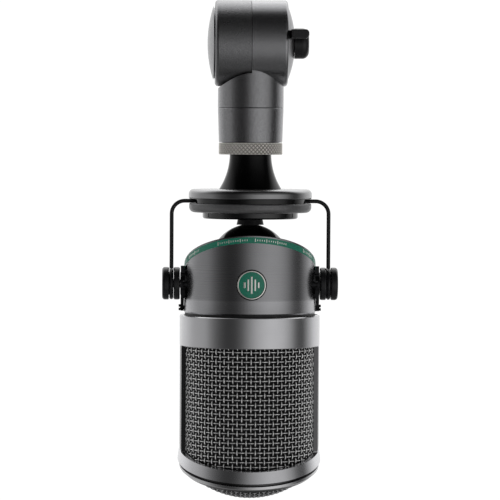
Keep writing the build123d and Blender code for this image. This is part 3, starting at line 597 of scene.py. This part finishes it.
def woven_grille():
    """The woven wires that take the place of the two plain walls of mesh, and the gauze."""
    # The wires are darkened where they dip under one another, as painted shade.
    side = metal_with_painted_shade(
        "side_wire_tinned", (1.0, 1.0, 1.0), 0.26, 0.65,
        low=MESH_MIDDLE - 0.1, high=MESH_MIDDLE + 0.35, recess_shade=0.02,
    )
    end = metal_with_painted_shade(
        "end_wire_tinned", (0.75, 0.75, 0.77), 0.3, 0.9,
        low=CROWN_MIDDLE, high=CROWN_MIDDLE + 0.4, recess_shade=0.02, centre=(AXIS_Y + CROWN_Y, CROWN_Z),
    )
    wires = (
        ("side_mesh_uprights", upright_wires(), side, ["side_mesh"]),
        ("side_mesh_rings", ring_wires(), side, []),
        ("end_mesh_across", end_wires(across=True), end, ["end_mesh"]),
        ("end_mesh_along", end_wires(across=False), end, []),
    )
    for name, mesh, finish, replaced in wires:
        piece(name, *mesh, "head_grille", "wire_mesh", replaces=replaced, finish=finish)
    piece("end_gauze", *gauze_dome(), "head_grille", "black_gauze")


# ---------------------------------------------------------------- union nut

def knurled_nut():
    """The coupling nut, with a diamond knurl between two plain chamfered edges."""
    low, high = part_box("union_nut")
    radius = high.x / MM
    bottom, top = low.z / MM, high.z / MM
    teeth = round(2 * math.pi * radius / KNURL_PITCH)
    around = teeth * KNURL_STEPS
    height = top - bottom - 2 * NUT_EDGE
    rows = round(height / KNURL_PITCH * KNURL_STEPS)
    corners, faces = [], []

    def ring(ring_radius, z, relief=None):
        for i in range(around):
            angle = 2 * math.pi * i / around
            depth = relief(i) if relief else 0
            corners.append(on_axis(ring_radius - depth, angle, z))

    def tooth(i, row):
        u = (i + row) / KNURL_STEPS % 1
        v = (i - row) / KNURL_STEPS % 1
        ridge = min(min(u, 1 - u), min(v, 1 - v)) * 2
        return KNURL_DEPTH * (1 - min(1, ridge / KNURL_GROOVE))

    ring(NUT_BORE, top)
    ring(radius - NUT_EDGE, top)
    ring(radius - NUT_ROUND, top - NUT_SHOULDER)
    for row in range(rows + 1):
        z = top - NUT_EDGE - height * row / rows
        ring(radius, z, lambda i, row=row: tooth(i, row))
    ring(radius - NUT_ROUND, bottom + NUT_SHOULDER)
    ring(radius - NUT_EDGE, bottom)
    ring(NUT_BORE, bottom)
    join_rings(faces, 0, len(corners) // around, around, flip=True)
    # The knurl is darkened in its grooves, as painted shade.
    knurl = metal_with_painted_shade(
        "nickel_knurled", (1.0, 0.96, 0.90), 0.25, 0.35,
        low=radius - 0.3, high=radius - 0.08, recess_shade=0.02,
    )
    piece("union_nut_knurled", corners, faces, "union_nut", "nickel", smooth=False,
          replaces=["union_nut"], finish=knurl)


# ---------------------------------------------------------------- badge, band marks and ribbon

def on_badge(across, up, radius):
    """A point on the curved front of the body, across and up from the badge's middle."""
    return on_axis(radius, across / BADGE_FACE, BADGE_HEIGHT + up)


def badge_ring(name, profile, slot, **settings):
    """A ring round the badge's middle, bent to the body, from a profile of (distance, radius) pairs."""
    corners, faces = [], []
    for distance, radius in profile:
        for i in range(BADGE_SIDES):
            turn = 2 * math.pi * i / BADGE_SIDES
            corners.append(on_badge(distance * math.cos(turn), distance * math.sin(turn), radius))
    join_rings(faces, 0, len(profile), BADGE_SIDES)
    piece(name, corners, faces, "mic_body", slot, **settings)


def raised_bar(corners, faces, across, up, width, height, foot, face):
    """Adds a small bar with bevelled edges that stands on the curved body."""
    bevel = min(width, height) * BEVEL_SHARE
    first = len(corners)
    for inset, radius in ((0, foot), (0, face - bevel / 2), (bevel, face)):
        for x, z in ((-1, -1), (1, -1), (1, 1), (-1, 1)):
            side = across + x * (width / 2 - inset)
            corners.append(on_badge(side, up + z * (height / 2 - inset), radius))
    join_rings(faces, first, 3, 4)
    faces.append(tuple(range(len(corners) - 4, len(corners))))


def round_badge():
    """A round enamelled badge with a black edge, a bright rim and five level bars."""
    rim, edge = BADGE_RADIUS - BADGE_EDGE, BADGE_RADIUS
    inside = BADGE_RADIUS - BADGE_BORDER
    face = BADGE_FACE - 0.02
    badge_ring("badge_edge", [(rim, face - 0.15), (edge - 0.12, face - 0.12), (edge, face - 0.22),
                              (edge, BADGE_FOOT)], "black_gloss", replaces=["badge"])
    badge_ring("badge_rim", [(inside, face - 0.3), (inside + 0.08, face - 0.05), (inside + 0.2, face),
                             (rim - 0.15, face), (rim, face - 0.08), (rim, face - 0.3)], "nickel")
    field = [(0.001, face - FIELD_DEPTH)]
    for k in range(1, FIELD_RINGS + 1):
        dish = FIELD_DISH * (k / FIELD_RINGS) ** 2
        field.append((inside * k / FIELD_RINGS, face - FIELD_DEPTH - dish))
    badge_ring("badge_field", field, "green_enamel")
    corners, faces = [], []
    for k, height in enumerate(BADGE_BARS):
        across = (k - len(BADGE_BARS) // 2) * BAR_SPACING
        raised_bar(corners, faces, across, 0, BAR_WIDTH, height, face - 0.3, face - 0.04)
    piece("badge_bars", corners, faces, "mic_body", "nickel", smooth=False)


def band_marks():
    """Plain bright scale marks, slightly raised, round the front of the green band."""
    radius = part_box("trim_band")[1].x / MM
    corners, faces = [], []
    for start, end in MARK_GROUPS:
        for k, degrees in enumerate(range(start, end, MARK_SPACING)):
            angle = math.radians(degrees)
            up = BAND_MIDDLE - radius * math.cos(angle) * math.tan(TOP_SLOPE) - BADGE_HEIGHT
            height = SHORT_MARK if k % MARKS_PER_LONG else LONG_MARK
            raised_bar(corners, faces, angle * BADGE_FACE, up, MARK_WIDTH, height,
                       radius - MARK_FOOT, radius + MARK_RISE)
    piece("band_marks", corners, faces, "mic_body", "nickel", smooth=False)


def corrugated_ribbon():
    """The foil, pressed into fine waves across its length."""
    low, high = (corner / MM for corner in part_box("ribbon"))
    middle = (low.y + high.y) / 2
    count = int((high.z - low.z) / RIBBON_PITCH * RIBBON_STEPS)
    corners, faces = [], []
    for i in range(count + 1):
        z = low.z + i * RIBBON_PITCH / RIBBON_STEPS
        y = middle + RIBBON_WAVE * math.sin(2 * math.pi * i / RIBBON_STEPS)
        corners += [(low.x, y - RIBBON_SKIN, z), (high.x, y - RIBBON_SKIN, z),
                    (high.x, y + RIBBON_SKIN, z), (low.x, y + RIBBON_SKIN, z)]
    join_rings(faces, 0, count + 1, 4)
    piece("ribbon_corrugated", corners, faces, "mic_body", "ribbon_foil", replaces=["ribbon"])


# ---------------------------------------------------------------- stage, light and camera

def floor():
    """A round pale floor, far enough below the hanging microphone to stay out of its front view."""
    mesh = bpy.data.meshes.new("floor")
    rim = [2 * math.pi * i / FLOOR_SIDES for i in range(FLOOR_SIDES)]
    corners = [(FLOOR_RADIUS * math.cos(a), FLOOR_RADIUS * math.sin(a), FLOOR_HEIGHT) for a in rim]
    mesh.from_pydata([[c * MM for c in corner] for corner in corners], [], [tuple(range(FLOOR_SIDES))])
    made = bpy.data.objects.new("floor", mesh)
    bpy.context.scene.collection.objects.link(made)
    pale = Finish("floor_pale", (0.85, 0.85, 0.85), roughness=0.9,
                  Emission_Color=(1, 1, 1, 1), Emission_Strength=FLOOR_GLOW)
    pale.vary_colour(pale.noise(400), 0.99, 1.0)
    mesh.materials.append(pale.material)
    made.visible_glossy = False


class Sky:
    """Node helpers for the world's light."""

    def __init__(self):
        world = bpy.data.worlds.new("studio")
        bpy.context.scene.world = world
        world.use_nodes = True
        self.tree = world.node_tree
        self.tree.nodes.clear()

    def node(self, kind, *sources, **settings):
        """A new shader node whose inputs are set to numbers or linked to sockets, or left for None."""
        made = self.tree.nodes.new("ShaderNode" + kind)
        for label, value in settings.items():
            setattr(made, label, value)
        for place, source in enumerate(sources):
            if isinstance(source, (int, float)):
                made.inputs[place].default_value = source
            elif source is not None:
                self.tree.links.new(source, made.inputs[place])
        return made

    def maths(self, operation, *sources):
        """The result of one sum on numbers or sockets."""
        return self.node("Math", *sources, operation=operation).outputs[0]

    def spread(self, source, low, high):
        """Source from low to high turned into 0 to 1."""
        return self.node("MapRange", source, low, high).outputs[0]

    def curve(self, source, stops):
        """A grey level read from (degrees, level) stops, the first where source is 0, the last at 1."""
        made = self.node("ValToRGB", source)
        elements = made.color_ramp.elements
        elements.remove(elements[-1])
        first, last = stops[0][0], stops[-1][0]
        for i, (degrees, level) in enumerate(stops):
            place = (degrees - first) / (last - first)
            element = elements.new(place) if i else elements[0]
            element.position = place
            element.color = (level, level, level, 1)
        return made.outputs["Color"]

    def between(self, share, first, second):
        """First where share is 0, second where it is 1."""
        rest = self.maths("SUBTRACT", 1.0, share)
        start = self.maths("MULTIPLY", first, rest)
        end = self.maths("MULTIPLY", second, share)
        return self.maths("ADD", start, end)


def studio():
    """A white tent round the microphone, open beside the camera, with a large softbox at the right.
    The camera itself sees a plain white background."""
    sky = Sky()
    split = sky.node("SeparateXYZ", sky.node("TexCoord").outputs["Generated"])
    x, y, z = split.outputs["X"], split.outputs["Y"], split.outputs["Z"]
    azimuth = sky.maths("ARCTAN2", x, sky.maths("MULTIPLY", y, -1.0))
    height = sky.maths("ARCSINE", z)
    rise = sky.spread(height, -math.pi / 2, math.pi / 2)
    sides = sky.curve(sky.spread(azimuth, -math.pi, math.pi), TENT_AROUND)
    front = sky.curve(rise, TENT_FRONT)
    back = sky.curve(rise, TENT_BACK)
    walls = sky.maths("MULTIPLY", sides, sky.between(sky.spread(y, *FRONT_TO_BACK), front, back))
    level = sky.between(sky.spread(z, *WALL_TO_FLOOR), walls, TENT_FLOOR)
    tent = sky.node("Background", None, level)
    plain = sky.node("Background", None, BACKGROUND)
    for light in (tent, plain):
        light.inputs["Color"].default_value = (1, 1, 1, 1)
    seen = sky.node("LightPath").outputs["Is Camera Ray"]
    choose = sky.node("MixShader", seen, tent.outputs[0], plain.outputs[0])
    sky.node("OutputWorld", choose.outputs[0])


def camera():
    """A long lens on the front of the microphone, rolled as the photograph is."""
    data = bpy.data.cameras.new("camera")
    data.lens = CAMERA_LENS
    data.sensor_width = SENSOR_WIDTH
    data.clip_start, data.clip_end = CLIP_START * MM, CLIP_END * MM
    made = bpy.data.objects.new("camera", data)
    bpy.context.scene.collection.objects.link(made)
    aim = Vector((0, AXIS_Y, AIM_HEIGHT)) * MM
    made.location = on_axis(CAMERA_DISTANCE, CAMERA_TURN, CAMERA_HEIGHT) * MM
    made.rotation_euler = (aim - made.location).to_track_quat("-Z", "Y").to_euler()
    made.rotation_euler.rotate_axis("Z", CAMERA_ROLL)
    bpy.context.scene.camera = made
    bpy.context.scene.view_settings.view_transform = "Standard"


finish_cad_nodes()
woven_grille()
knurled_nut()
round_badge()
band_marks()
corrugated_ribbon()
floor()
studio()
camera()
